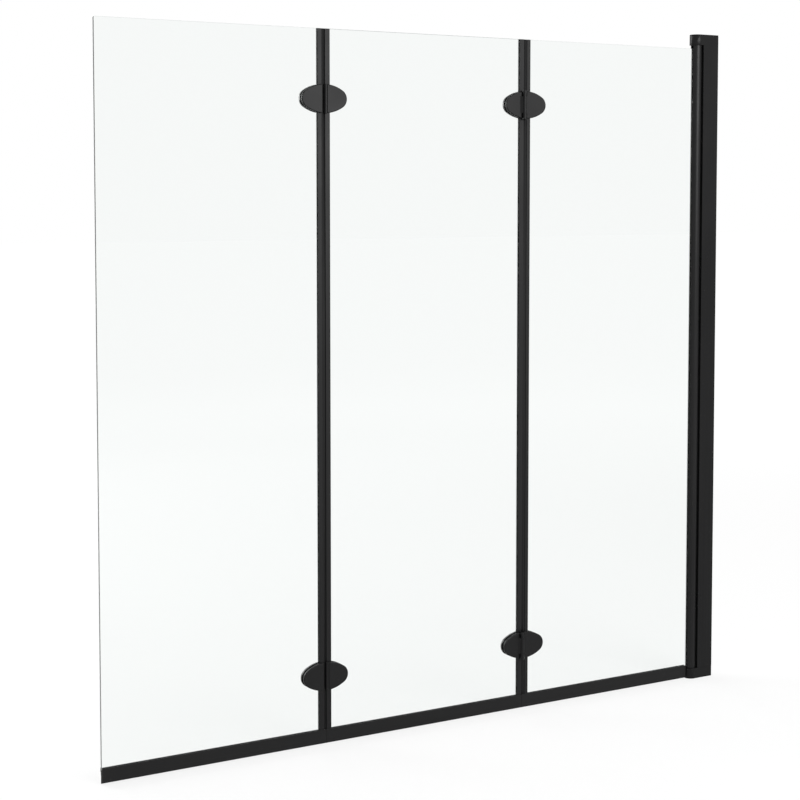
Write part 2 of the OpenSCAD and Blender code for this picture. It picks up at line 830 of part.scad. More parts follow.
module right_lower_hinge_pin() { at_right_line() hinge_pin(lower_hinge_z); }
module right_upper_hinge_pin() { at_right_line() hinge_pin(upper_hinge_z); }
module left_lower_hinge_pin() { at_left_line() hinge_pin(lower_hinge_z); }
module left_upper_hinge_pin() { at_left_line() hinge_pin(upper_hinge_z); }
module right_hinge_bushes() { at_right_line() hinge_bushes(); }
module left_hinge_bushes() { at_left_line() hinge_bushes(); }

// ---------------------------------------------------------------- the parts

wall_channel();
jamb_profile();
jamb_wipers();
lower_bearing_block();
upper_bearing_block();
lower_bearing_bush();
upper_bearing_bush();
top_cover_plate();
jamb_clamp_screws();
block_screws();
pivot_tube();
lower_spigot();
upper_spigot();
tube_gasket();
wall_glass();
wall_edge_profile();
wall_edge_seal();
wall_rail();
wall_drip_seal();
middle_glass();
middle_right_profile();
middle_left_profile();
middle_rail();
middle_drip_seal();
outer_glass();
outer_edge_profile();
outer_edge_seal();
outer_rail();
outer_drip_seal();
wall_lower_front_plate();
wall_lower_back_plate();
wall_upper_front_plate();
wall_upper_back_plate();
middle_right_lower_front_plate();
middle_right_lower_back_plate();
middle_right_upper_front_plate();
middle_right_upper_back_plate();
middle_left_lower_front_plate();
middle_left_lower_back_plate();
middle_left_upper_front_plate();
middle_left_upper_back_plate();
outer_lower_front_plate();
outer_lower_back_plate();
outer_upper_front_plate();
outer_upper_back_plate();
wall_hinge_gaskets();
middle_right_hinge_gaskets();
middle_left_hinge_gaskets();
outer_hinge_gaskets();
wall_hinge_screws();
middle_right_hinge_screws();
middle_left_hinge_screws();
outer_hinge_screws();
right_lower_hinge_pin();
right_upper_hinge_pin();
left_lower_hinge_pin();
left_upper_hinge_pin();
right_hinge_bushes();
left_hinge_bushes();
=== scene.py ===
"""Folding bath screen: finishes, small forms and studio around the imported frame."""

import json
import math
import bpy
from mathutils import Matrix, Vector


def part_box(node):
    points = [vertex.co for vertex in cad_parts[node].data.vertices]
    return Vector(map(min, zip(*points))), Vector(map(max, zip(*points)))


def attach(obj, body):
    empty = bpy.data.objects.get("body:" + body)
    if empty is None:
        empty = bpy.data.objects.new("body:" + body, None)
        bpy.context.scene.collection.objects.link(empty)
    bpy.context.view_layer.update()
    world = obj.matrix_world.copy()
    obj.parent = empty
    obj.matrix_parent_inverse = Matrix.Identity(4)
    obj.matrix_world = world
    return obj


bl_info = {
    "name": "Folding Bath Screen",
    "version": (1, 0, 0),
    "blender": (4, 5, 0),
    "location": "View3D > Sidebar > Bath Screen",
    "description": "Dresses the packed bath screen with finishes, edges, seals and a plain studio",
    "category": "Object",
}

import bmesh
import bpy
from bpy.props import FloatProperty, FloatVectorProperty, PointerProperty
from mathutils import Vector

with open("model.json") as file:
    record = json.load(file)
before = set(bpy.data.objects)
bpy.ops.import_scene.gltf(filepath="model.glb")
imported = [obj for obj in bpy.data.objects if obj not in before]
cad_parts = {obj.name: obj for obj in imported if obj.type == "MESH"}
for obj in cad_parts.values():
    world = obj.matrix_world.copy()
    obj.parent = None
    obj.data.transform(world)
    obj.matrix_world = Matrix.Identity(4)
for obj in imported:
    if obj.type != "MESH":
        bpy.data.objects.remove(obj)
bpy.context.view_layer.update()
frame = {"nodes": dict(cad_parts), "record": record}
NODES = frame["nodes"]
BODY_OF = {
    node: body
    for body, members in frame["record"]["behaviour"]["bodies"].items()
    for node in members
}
GLASS_NODES = ("wall_glass", "middle_glass", "outer_glass")
HINGE_COVERS = [
    node for node in NODES if node.endswith("_plate") and node != "top_cover_plate"
]
MADE = {}  # finishes by name, filled by the first call of material()

# Lengths are in metres.
# How far noise is squeezed along each axis, by the way a piece was drawn or turned
UPRIGHT_DRAW = (1100.0, 1100.0, 2.5)
LEVEL_DRAW = (2.5, 1100.0, 1100.0)
CHANNEL_DRAW = (1300.0, 1300.0, 4.0)
TURNED_BAR = (400.0, 400.0, 2200.0)

# Colours of small and hidden pieces, and the share of light that a pane lets through
# The wipers get a lighter black than the other rubber: painted light that lifts the shade in the
# groove between the pivot tube and the jamb.
WIPER_BLACK_PAINTED_LIGHT = (0.016, 0.016, 0.0163)
PIN_BLACK = (0.035, 0.035, 0.036)
CHANNEL_GREY = (0.42, 0.42, 0.43)
PANE_SHADOW = (0.92, 0.94, 0.93, 1.0)
WHITE = (1.0, 1.0, 1.0, 1.0)

# Specular levels of the black finishes
SATIN, COVER_SATIN, DULL = 0.18, 0.16, 0.12

# Modifiers that break the sharp edges of the solids
WELD_DISTANCE = 0.000002
FLAT_ANGLE = math.radians(0.6)
SHARP_ANGLE = math.radians(32.0)
BEVEL_SEGMENTS = 2
OWN_FINISH, SECOND_FINISH = -1, 1

# Tongue of a bulb seal: share of its reach, and depth below the bulb's crown
TONGUE_SECTION = (
    (0.0, 0.0), (0.35, 0.0), (0.7, 0.0001), (0.92, 0.0002), (1.0, 0.00045),
    (0.97, 0.0007), (0.7, 0.00075), (0.35, 0.0009),
)
TONGUE_HEEL = 0.0006
TONGUE_ROOT = 0.0009

# Lip at the end of a rail
END_LIP_INSET = 0.00008
END_LIP_DEPTH = 0.0012
END_LIP_ROOT = 0.0006
END_LIP_SHORT = 0.0002
END_LIP_CUT_X, END_LIP_CUT_Y = 0.0002, 0.0003

# Floor, seen from the middle of the screen
FLOOR_REACH = 30.0
FLOOR_DROP = 0.0004
FLOOR_CENTRE_X = -0.6
FLOOR_NEAR_AT, FLOOR_FAR_AT = 1.8, 5.0
FLOOR_BOUNCE, FLOOR_SEEN = 0.5, 0.16

# Lamps: name, place, what they point at, size, and the setting with their power
SOFTBOXES = (
    ("Front softbox", (0.3, -3.2, 1.6), (-0.6, 0.0, 1.0), (2.4, 1.1), "front_power"),
    ("Side softbox", (-2.5, 2.7, 1.5), (-0.6, 0.0, 0.9), (1.4, 2.0), "side_power"),
    ("Back softbox", (-0.6, 3.2, 3.4), (-0.6, 0.0, 0.7), (2.4, 1.6), "back_power"),
)
RIM_LAMP = ("Rim lamp", (-1.95, 2.7, 1.4), (-0.65, 0.0, 0.65), (0.9, 1.2), "rim_power")


# ------------------------------------------------------------------ settings


def colour_prop(name, description, default):
    """A colour setting."""
    return FloatVectorProperty(
        name=name, description=description, default=default, size=3,
        subtype="COLOR", min=0.0, max=1.0,
    )


class BathScreenFinishes(bpy.types.PropertyGroup):
    """Colours and surface values of the finishes."""

    profile_black: colour_prop(
        "Profile black", "Colour of the coated profiles", (0.0050, 0.0050, 0.0052)
    )
    profile_roughness: FloatProperty(
        name="Profile roughness", description="Roughness of the coated profiles",
        default=0.44, min=0.0, max=1.0, subtype="FACTOR",
    )
    casting_black: colour_prop(
        "Casting black", "Colour of the hinge covers", (0.0050, 0.0050, 0.0052)
    )
    casting_roughness: FloatProperty(
        name="Casting roughness", description="Roughness of the hinge covers",
        default=0.42, min=0.0, max=1.0, subtype="FACTOR",
    )
    post_black: colour_prop(
        "Post black", "Colour of the jamb and its blocks", (0.0055, 0.0055, 0.0057)
    )
    tube_black: colour_prop(
        "Tube black", "Colour of the pivot tube", (0.0095, 0.0095, 0.0097)
    )
    post_roughness: FloatProperty(
        name="Post roughness", description="Roughness of the pivot tube, the jamb and its blocks",
        default=0.30, min=0.0, max=1.0, subtype="FACTOR",
    )
    rubber_black: colour_prop(
        "Rubber black", "Colour of seals, lips and gaskets", (0.0095, 0.0095, 0.0097)
    )
    glass_tint: colour_prop(
        "Glass tint", "Colour that the panes give to light passing through",
        (0.922, 0.941, 0.932),
    )
    edge_tint: colour_prop(
        "Ground edge tint", "Colour of the ground bevel round each pane", (0.36, 0.42, 0.40)
    )
    steel_colour: colour_prop(
        "Steel", "Colour of spigots and clamp screws", (0.24, 0.24, 0.235)
    )


class BathScreenEdges(bpy.types.PropertyGroup):
    """Sizes of the small broken edges."""

    profile_edge: FloatProperty(
        name="Profile edge", description="Width of the broken edge on profiles and rails",
        default=0.0003, min=0.0, max=0.001, unit="LENGTH",
    )
    block_edge: FloatProperty(
        name="Block edge", description="Width of the broken edge on the bearing blocks",
        default=0.0006, min=0.0, max=0.002, unit="LENGTH",
    )
    lip_clearance: FloatProperty(
        name="Lip clearance", description="Gap between a lip and the profile it closes on",
        default=0.0002, min=0.0, max=0.001, unit="LENGTH",
    )
    glass_edge: FloatProperty(
        name="Glass edge", description="Width of the ground edge round each pane",
        default=0.0008, min=0.0, max=0.0015, unit="LENGTH",
    )


class BathScreenStudio(bpy.types.PropertyGroup):
    """Camera, floor and light."""

    camera_place: FloatVectorProperty(
        name="Camera place", description="Where the camera stands",
        default=(-2.1832, -2.6273, 0.9831), size=3, subtype="TRANSLATION", unit="LENGTH",
    )
    camera_yaw: FloatProperty(
        name="Camera yaw", description="Direction of view, from +Y towards +X",
        default=math.radians(29.761), subtype="ANGLE", unit="ROTATION",
    )
    camera_pitch: FloatProperty(
        name="Camera pitch", description="How far the camera looks down",
        default=math.radians(3.465), subtype="ANGLE", unit="ROTATION",
    )
    camera_lens: FloatProperty(
        name="Focal length", description="Focal length on a 36 mm sensor",
        default=75.376, min=10.0, max=300.0, unit="CAMERA",
    )
    camera_shift: FloatProperty(
        name="Camera shift", description="Vertical shift of the lens", default=-0.1305,
    )
    room_level: FloatProperty(
        name="Room level", description="Brightness of the room's soft light",
        default=0.8, min=0.0, max=2.0,
    )
    floor_near: FloatProperty(
        name="Floor near", description="White added to the floor where the lamps reach it",
        default=0.80, min=0.0, max=1.0,
    )
    floor_far: FloatProperty(
        name="Floor far", description="White added to the floor far from the lamps",
        default=0.88, min=0.0, max=1.0,
    )
    side_power: FloatProperty(
        name="Side light", description="Power of the tall light behind the free side",
        default=70.0, min=0.0, max=2000.0, unit="POWER",
    )
    back_power: FloatProperty(
        name="Back light", description="Power of the large light behind the screen",
        default=40.0, min=0.0, max=2000.0, unit="POWER",
    )
    rim_power: FloatProperty(
        name="Rim light", description="Power of the lamp that lights the hinge covers alone",
        default=75.0, min=0.0, max=2000.0, unit="POWER",
    )
    front_power: FloatProperty(
        name="Front light", description="Power of the high light in front",
        default=85.0, min=0.0, max=2000.0, unit="POWER",
    )


# ------------------------------------------------------------------ shader tools


def new_group(name, inputs, outputs):
    """An empty shader node group with named sockets, and its input and output nodes."""
    tree = bpy.data.node_groups.new(name, "ShaderNodeTree")
    for label, kind, default in inputs:
        socket = tree.interface.new_socket(name=label, in_out="INPUT", socket_type=kind)
        socket.default_value = default
    for label in outputs:
        tree.interface.new_socket(
            name=label, in_out="OUTPUT", socket_type="NodeSocketFloat"
        )
    source = tree.nodes.new("NodeGroupInput")
    target = tree.nodes.new("NodeGroupOutput")
    return tree, source, target


def add_node(tree, kind, inputs=None, **values):
    """A node with its properties set, and its inputs linked to sockets or set to values."""
    node = tree.nodes.new(kind)
    for key, value in values.items():
        if hasattr(node, key):
            setattr(node, key, value)
        else:
            node.inputs[key.replace("_", " ").title()].default_value = value
    for name, value in (inputs or {}).items():
        if isinstance(value, bpy.types.NodeSocket):
            tree.links.new(value, node.inputs[name])
        else:
            node.inputs[name].default_value = value
    return node


def build_coat_grain():
    """Fine grain and slow drift of a powder coat."""
    tree, source, target = new_group(
        "Coat Grain",
        [
            ("Scale", "NodeSocketFloat", 1500.0),
            ("Roughness", "NodeSocketFloat", 0.4),
            ("Spread", "NodeSocketFloat", 0.08),
        ],
        ["Roughness", "Height", "Tone"],
    )
    peel_share, fine_share, drift_scale = 0.16, 0.35, 9.0
    scale, middle, spread = (source.outputs[key] for key in ("Scale", "Roughness", "Spread"))
    place = add_node(tree, "ShaderNodeTexCoord").outputs["Object"]
    fine = add_node(tree, "ShaderNodeTexNoise", {"Vector": place, "Scale": scale}, detail=2.0)
    peel_scale = add_node(
        tree, "ShaderNodeMath", {0: scale, 1: peel_share}, operation="MULTIPLY"
    )
    peel = add_node(
        tree, "ShaderNodeTexNoise", {"Vector": place, "Scale": peel_scale.outputs[0]},
        detail=1.0,
    )
    height = add_node(
        tree, "ShaderNodeMath", {0: fine.outputs[0], 1: fine_share, 2: peel.outputs[0]},
        operation="MULTIPLY_ADD",
    )
    drift = add_node(
        tree, "ShaderNodeTexNoise", {"Vector": place}, scale=drift_scale, detail=3.0
    )
    low = add_node(tree, "ShaderNodeMath", {0: middle, 1: spread}, operation="SUBTRACT")
    high = add_node(tree, "ShaderNodeMath", {0: middle, 1: spread}, operation="ADD")
    roughness = add_node(
        tree, "ShaderNodeMapRange",
        {"Value": drift.outputs[0], "To Min": low.outputs[0], "To Max": high.outputs[0]},
        from_min=0.3, from_max=0.7,
    )
    tree.links.new(roughness.outputs[0], target.inputs["Roughness"])
    tree.links.new(height.outputs[0], target.inputs["Height"])
    tree.links.new(drift.outputs[0], target.inputs["Tone"])


def build_draw_lines():
    """Faint lines along a drawn profile or a bar."""
    tree, source, target = new_group(
        "Draw Lines", [("Stretch", "NodeSocketVector", UPRIGHT_DRAW)], ["Height", "Tone"]
    )
    place = add_node(tree, "ShaderNodeTexCoord").outputs["Object"]
    stretched = add_node(
        tree, "ShaderNodeVectorMath", {0: place, 1: source.outputs["Stretch"]},
        operation="MULTIPLY",
    )
    lines = add_node(
        tree, "ShaderNodeTexNoise", {"Vector": stretched.outputs[0]}, scale=1.0, detail=3.0
    )
    soft = add_node(
        tree, "ShaderNodeMapRange", {"Value": lines.outputs[0]},
        interpolation_type="SMOOTHSTEP", from_min=0.35, from_max=0.65,
    )
    tree.links.new(lines.outputs[0], target.inputs["Height"])
    tree.links.new(soft.outputs[0], target.inputs["Tone"])


def group_node(tree, group, **values):
    """A node that holds a shared group, with its plain inputs set."""
    node = tree.nodes.new("ShaderNodeGroup")
    node.node_tree = bpy.data.node_groups[group]
    for key, value in values.items():
        node.inputs[key].default_value = value
    return node


def new_material(name, **sockets):
    """A material with one Principled shader whose plain sockets are set."""
    mat = bpy.data.materials.new(name)
    mat.use_nodes = True
    tree = mat.node_tree
    tree.nodes.clear()
    shader = tree.nodes.new("ShaderNodeBsdfPrincipled")
    out = tree.nodes.new("ShaderNodeOutputMaterial")
    tree.links.new(shader.outputs[0], out.inputs["Surface"])
    for key, value in sockets.items():
        shader.inputs[key.replace("_", " ")].default_value = value
    return mat, tree, shader


def tinted(tree, shader, colour, lift, tone):
    """Base colour that drifts a little between the colour and a lighter one."""
    lighter = [channel * lift for channel in colour]
    factor, first, second, colour_out = 0, 6, 7, 2  # the colour sockets of a Mix node
    mix = add_node(
        tree, "ShaderNodeMix", {factor: tone, first: (*colour, 1.0), second: (*lighter, 1.0)},
        data_type="RGBA",
    )
    tree.links.new(mix.outputs[colour_out], shader.inputs["Base Color"])


def bumped(tree, shader, height, strength, distance):
    """Relief from a height value."""
    bump = add_node(
        tree, "ShaderNodeBump", {"Height": height}, strength=strength, distance=distance
    )
    tree.links.new(bump.outputs[0], shader.inputs["Normal"])


def coated(name, colour, roughness, spread, scale, depth, specular=SATIN):
    """Powder-coated metal, moulded plastic or rubber."""
    mat, tree, shader = new_material(name, Specular_IOR_Level=specular)
    grain = group_node(tree, "Coat Grain", Scale=scale, Roughness=roughness, Spread=spread)
    tree.links.new(grain.outputs["Roughness"], shader.inputs["Roughness"])
    tinted(tree, shader, colour, 1.5, grain.outputs["Tone"])
    bumped(tree, shader, grain.outputs["Height"], strength=0.35, distance=depth)
    return mat


def drawn(name, colour, roughness, stretch, metallic=0.0, specular=SATIN):
    """Profile or bar with faint draw lines in its surface."""
    mat, tree, shader = new_material(name, Metallic=metallic, Specular_IOR_Level=specular)
    grain = group_node(tree, "Coat Grain", Scale=1900.0, Roughness=roughness, Spread=0.05)
    lines = group_node(tree, "Draw Lines", Stretch=stretch)
    line_share = 0.6
    both = add_node(
        tree, "ShaderNodeMath",
        {0: lines.outputs["Height"], 1: line_share, 2: grain.outputs["Height"]},
        operation="MULTIPLY_ADD",
    )
    tree.links.new(grain.outputs["Roughness"], shader.inputs["Roughness"])
    tinted(tree, shader, colour, 1.45, lines.outputs["Tone"])
    bumped(tree, shader, both.outputs[0], strength=0.25, distance=0.00006)
    return mat


def clear_glass(finishes):
    """Polished toughened glass that lets the lamps through to what stands behind it."""
    mat, tree, shader = new_material(
        "Clear toughened glass", Roughness=0.0, IOR=1.5, Transmission_Weight=1.0,
    )
    shader.inputs["Base Color"].default_value = (*finishes.glass_tint, 1.0)
    path = tree.nodes.new("ShaderNodeLightPath")
    clear = add_node(tree, "ShaderNodeBsdfTransparent", {"Color": PANE_SHADOW})
    mix = add_node(
        tree, "ShaderNodeMixShader",
        {0: path.outputs["Is Shadow Ray"], 1: shader.outputs[0], 2: clear.outputs[0]},
    )
    tree.links.new(mix.outputs[0], tree.nodes["Material Output"].inputs["Surface"])
    return mat


def ground_edge(finishes):
    """The narrow ground bevel round each pane, less clear than its faces."""
    mat, tree, shader = new_material(
        "Ground glass edge", IOR=1.5, Transmission_Weight=0.35, Specular_IOR_Level=0.3
    )
    grain = group_node(tree, "Coat Grain", Scale=2400.0, Roughness=0.42, Spread=0.08)
    tree.links.new(grain.outputs["Roughness"], shader.inputs["Roughness"])
    tinted(tree, shader, finishes.edge_tint, 1.2, grain.outputs["Tone"])
    bumped(tree, shader, grain.outputs["Height"], strength=0.3, distance=0.00003)
    return mat


def build_materials(finishes):
    """All finishes, by the names that the operators use."""
    build_coat_grain()
    build_draw_lines()
    black, rubber = finishes.profile_black, finishes.rubber_black
    return {
        "black_profiles": drawn(
            "Black profile coat", black, finishes.profile_roughness, UPRIGHT_DRAW
        ),
        "black_rails": drawn(
            "Black rail coat", black, finishes.profile_roughness, LEVEL_DRAW
        ),
        "black_post": drawn(
            "Black post coat", finishes.post_black, finishes.post_roughness, UPRIGHT_DRAW,
            specular=DULL,
        ),
        "black_tube": drawn(
            "Black tube coat", finishes.tube_black, finishes.post_roughness, UPRIGHT_DRAW,
            specular=DULL,
        ),
        "black_blocks": coated(
            "Black block coat", finishes.post_black, finishes.post_roughness,
            spread=0.05, scale=1300.0, depth=0.00008, specular=DULL,
        ),
        "black_castings": coated(
            "Black cover coat", finishes.casting_black, finishes.casting_roughness,
            spread=0.05, scale=1300.0, depth=0.00008, specular=COVER_SATIN,
        ),
        "bearing_plastic": coated(
            "Black bearing plastic", rubber, 0.45, spread=0.06, scale=900.0, depth=0.00005
        ),
        "black_rubber": coated(
            "Black rubber", rubber, 0.62, spread=0.08, scale=700.0, depth=0.0001,
            specular=DULL,
        ),
        # Lighter black than the other rubber: painted light in the shaded groove beside the tube.
        "wiper_rubber_painted_light": coated(
            "Wiper rubber", WIPER_BLACK_PAINTED_LIGHT, 0.7, spread=0.08, scale=700.0, depth=0.0001,
            specular=DULL,
        ),
        "black_pins": drawn("Blackened pins", PIN_BLACK, 0.38, TURNED_BAR, metallic=1.0),
        "black_screws": coated(
            "Black screw coat", black, 0.42, spread=0.04, scale=2600.0, depth=0.00003
        ),
        "raw_channel": drawn(
            "Mill finish channel", CHANNEL_GREY, 0.42, CHANNEL_DRAW, metallic=1.0
        ),
        "steel_hardware": drawn(
            "Stainless hardware", finishes.steel_colour, 0.32, TURNED_BAR, metallic=1.0
        ),
        "clear_glass": clear_glass(finishes),
        "ground_edge": ground_edge(finishes),
    }


def material(finish):
    """One finish by its name; all of them are made on the first call."""
    if not MADE:
        MADE.update(build_materials(bpy.context.scene.bath_screen_finishes))
    return MADE[finish]


# ------------------------------------------------------------------ shape tools


def dress(node, finish):
    """Gives a CAD node its finish."""
    mesh = NODES[node].data
    mesh.materials.clear()
    mesh.materials.append(material(finish))


def soften(node, width, finish_index=OWN_FINISH):
    """Breaks the sharp edges of a CAD node with modifiers; its own mesh stays."""
    piece = NODES[node]
    weld = piece.modifiers.new("Weld", "WELD")
    weld.merge_threshold = WELD_DISTANCE
    flat = piece.modifiers.new("Flat faces", "DECIMATE")
    flat.decimate_type = "DISSOLVE"
    flat.angle_limit = FLAT_ANGLE
    bevel = piece.modifiers.new("Broken edge", "BEVEL")
    bevel.width = width
    bevel.segments = BEVEL_SEGMENTS
    bevel.limit_method = "ANGLE"
    bevel.angle_limit = SHARP_ANGLE
    bevel.harden_normals = True
    bevel.material = finish_index
    bevel.use_clamp_overlap = True


def near_end(node, side):
    """X of a CAD node's end on the side, which is -1 for the free side and 1 for the wall."""
    low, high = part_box(node)
    return low.x if side < 0 else high.x


def upright_piece(name, section, bottom, top, finish, smooth=False):
    """A closed piece drawn as a section in X-Y and pulled up from bottom to top."""
    mesh = bmesh.new()
    rings = [[mesh.verts.new((x, y, z)) for x, y in section] for z in (bottom, top)]
    count = len(section)
    for i in range(count):
        j = (i + 1) % count
        face = mesh.faces.new((rings[0][i], rings[0][j], rings[1][j], rings[1][i]))
        face.smooth = smooth
    mesh.faces.new(rings[0][::-1])
    mesh.faces.new(rings[1])
    bmesh.ops.recalc_face_normals(mesh, faces=mesh.faces)
    data = bpy.data.meshes.new(name)
    mesh.to_mesh(data)
    mesh.free()
    data.materials.append(material(finish))
    piece = bpy.data.objects.new(name, data)
    bpy.context.scene.collection.objects.link(piece)
    return piece


# ------------------------------------------------------------------ operators


class BATHSCREEN_OT_wall_post(bpy.types.Operator):
    """Finishes the wall channel, the jamb, its wipers, the bearing blocks and their screws"""

    bl_idname = "bath_screen.wall_post"
    bl_label = "Wall post"

    def execute(self, context):
        edges = context.scene.bath_screen_edges
        dress("wall_channel", "raw_channel")
        dress("jamb_profile", "black_post")
        soften("jamb_profile", edges.profile_edge)
        # The wipers' lighter black is painted light in the shaded groove by the tube.
        dress("jamb_wipers", "wiper_rubber_painted_light")
        for node in ("lower_bearing_block", "upper_bearing_block", "top_cover_plate"):
            dress(node, "black_blocks")
            soften(node, edges.block_edge)
        for node in ("lower_bearing_bush", "upper_bearing_bush"):
            dress(node, "bearing_plastic")
        for node in ("jamb_clamp_screws", "block_screws"):
            dress(node, "black_screws")
        return {"FINISHED"}


class BATHSCREEN_OT_pivot_tube(bpy.types.Operator):
    """Finishes the pivot tube, its spigots and the glazing gasket"""

    bl_idname = "bath_screen.pivot_tube"
    bl_label = "Pivot tube"

    def execute(self, context):
        dress("pivot_tube", "black_tube")
        dress("tube_gasket", "black_rubber")
        for node in ("lower_spigot", "upper_spigot"):
            dress(node, "steel_hardware")
        return {"FINISHED"}


class BATHSCREEN_OT_glass_panes(bpy.types.Operator):
    """Finishes the three panes and their ground edges"""

    bl_idname = "bath_screen.glass_panes"
    bl_label = "Glass panes"

    def execute(self, context):
        for node in GLASS_NODES:
            dress(node, "clear_glass")
            NODES[node].data.materials.append(material("ground_edge"))
            soften(node, context.scene.bath_screen_edges.glass_edge, SECOND_FINISH)
        return {"FINISHED"}


class BATHSCREEN_OT_edge_profiles(bpy.types.Operator):
    """Finishes the upright edge profiles and the bulb seals between them"""

    bl_idname = "bath_screen.edge_profiles"
    bl_label = "Edge profiles and seals"

    def execute(self, context):
        edges = context.scene.bath_screen_edges
        for node in ("wall_edge_profile", "middle_right_profile", "middle_left_profile",
                     "outer_edge_profile"):
            dress(node, "black_profiles")
            soften(node, edges.profile_edge)
        for node in ("wall_edge_seal", "outer_edge_seal"):
            dress(node, "black_rubber")
        return {"FINISHED"}


class BATHSCREEN_OT_seal_lips(bpy.types.Operator):
    """Adds the soft lips that close each hinge line, in front and behind"""

    bl_idname = "bath_screen.seal_lips"
    bl_label = "Seal lips"

    def execute(self, context):
        clearance = context.scene.bath_screen_edges.lip_clearance
        for seal, neighbour, side in (("wall_edge_seal", "middle_right_profile", -1),
                                      ("outer_edge_seal", "middle_left_profile", 1)):
            low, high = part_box(seal)
            centre = near_end(seal, side) - side * high.y
            reach = abs(near_end(neighbour, -side) - centre) - clearance
            for label, face in (("front", -1), ("back", 1)):
                section = [(centre + side * x, face * y) for x, y in self.tongue(high.y, reach)]
                lip = upright_piece(f"{seal.removesuffix('seal')}{label}_lip", section,
                                    low.z, high.z, "black_rubber", smooth=True)
                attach(lip, BODY_OF[seal])
        return {"FINISHED"}

    def tongue(self, crown, reach):
        """Section of a tongue that leaves the bulb at its crown and thins towards its tip."""
        section = [(share * reach, crown - depth) for share, depth in TONGUE_SECTION]
        return [(-TONGUE_HEEL, crown - TONGUE_ROOT), *section]


class BATHSCREEN_OT_bottom_rails(bpy.types.Operator):
    """Finishes the bottom rails and their drip seals, and adds the lips between the rails"""

    bl_idname = "bath_screen.bottom_rails"
    bl_label = "Bottom rails"

    def execute(self, context):
        edges = context.scene.bath_screen_edges
        for panel in ("wall", "middle", "outer"):
            dress(f"{panel}_rail", "black_rails")
            soften(f"{panel}_rail", edges.profile_edge)
            dress(f"{panel}_drip_seal", "black_rubber")
        self.end_lip("wall_rail", "middle_rail", -1, edges.lip_clearance)
        self.end_lip("outer_rail", "middle_rail", 1, edges.lip_clearance)
        return {"FINISHED"}

    def end_lip(self, rail, neighbour, side, clearance):
        """A thin upright strip behind the rail's front face that closes the split."""
        low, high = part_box(rail)
        root = near_end(rail, side) - side * END_LIP_ROOT
        tip = near_end(neighbour, -side) - side * clearance
        cut = tip - side * END_LIP_CUT_X
        front = low.y + END_LIP_INSET
        back = front + END_LIP_DEPTH
        section = [(root, front), (cut, front), (tip, front + END_LIP_CUT_Y),
                   (tip, back - END_LIP_CUT_Y), (cut, back), (root, back)]
        lip = upright_piece(f"{rail}_end_lip", section, low.z + END_LIP_SHORT,
                            high.z - END_LIP_SHORT, "black_rails")
        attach(lip, BODY_OF[rail])


class BATHSCREEN_OT_hinges(bpy.types.Operator):
    """Finishes the hinge covers, gaskets, screws, pins and bushes"""

    bl_idname = "bath_screen.hinges"
    bl_label = "Hinges"

    def execute(self, context):
        finishes = {
            "_hinge_gaskets": "black_rubber",
            "_hinge_screws": "steel_hardware",
            "_hinge_pin": "black_pins",
            "_hinge_bushes": "bearing_plastic",
        }
        for node in HINGE_COVERS:
            dress(node, "black_castings")
        for node in NODES:
            for ending, finish in finishes.items():
                if node.endswith(ending):
                    dress(node, finish)
        return {"FINISHED"}


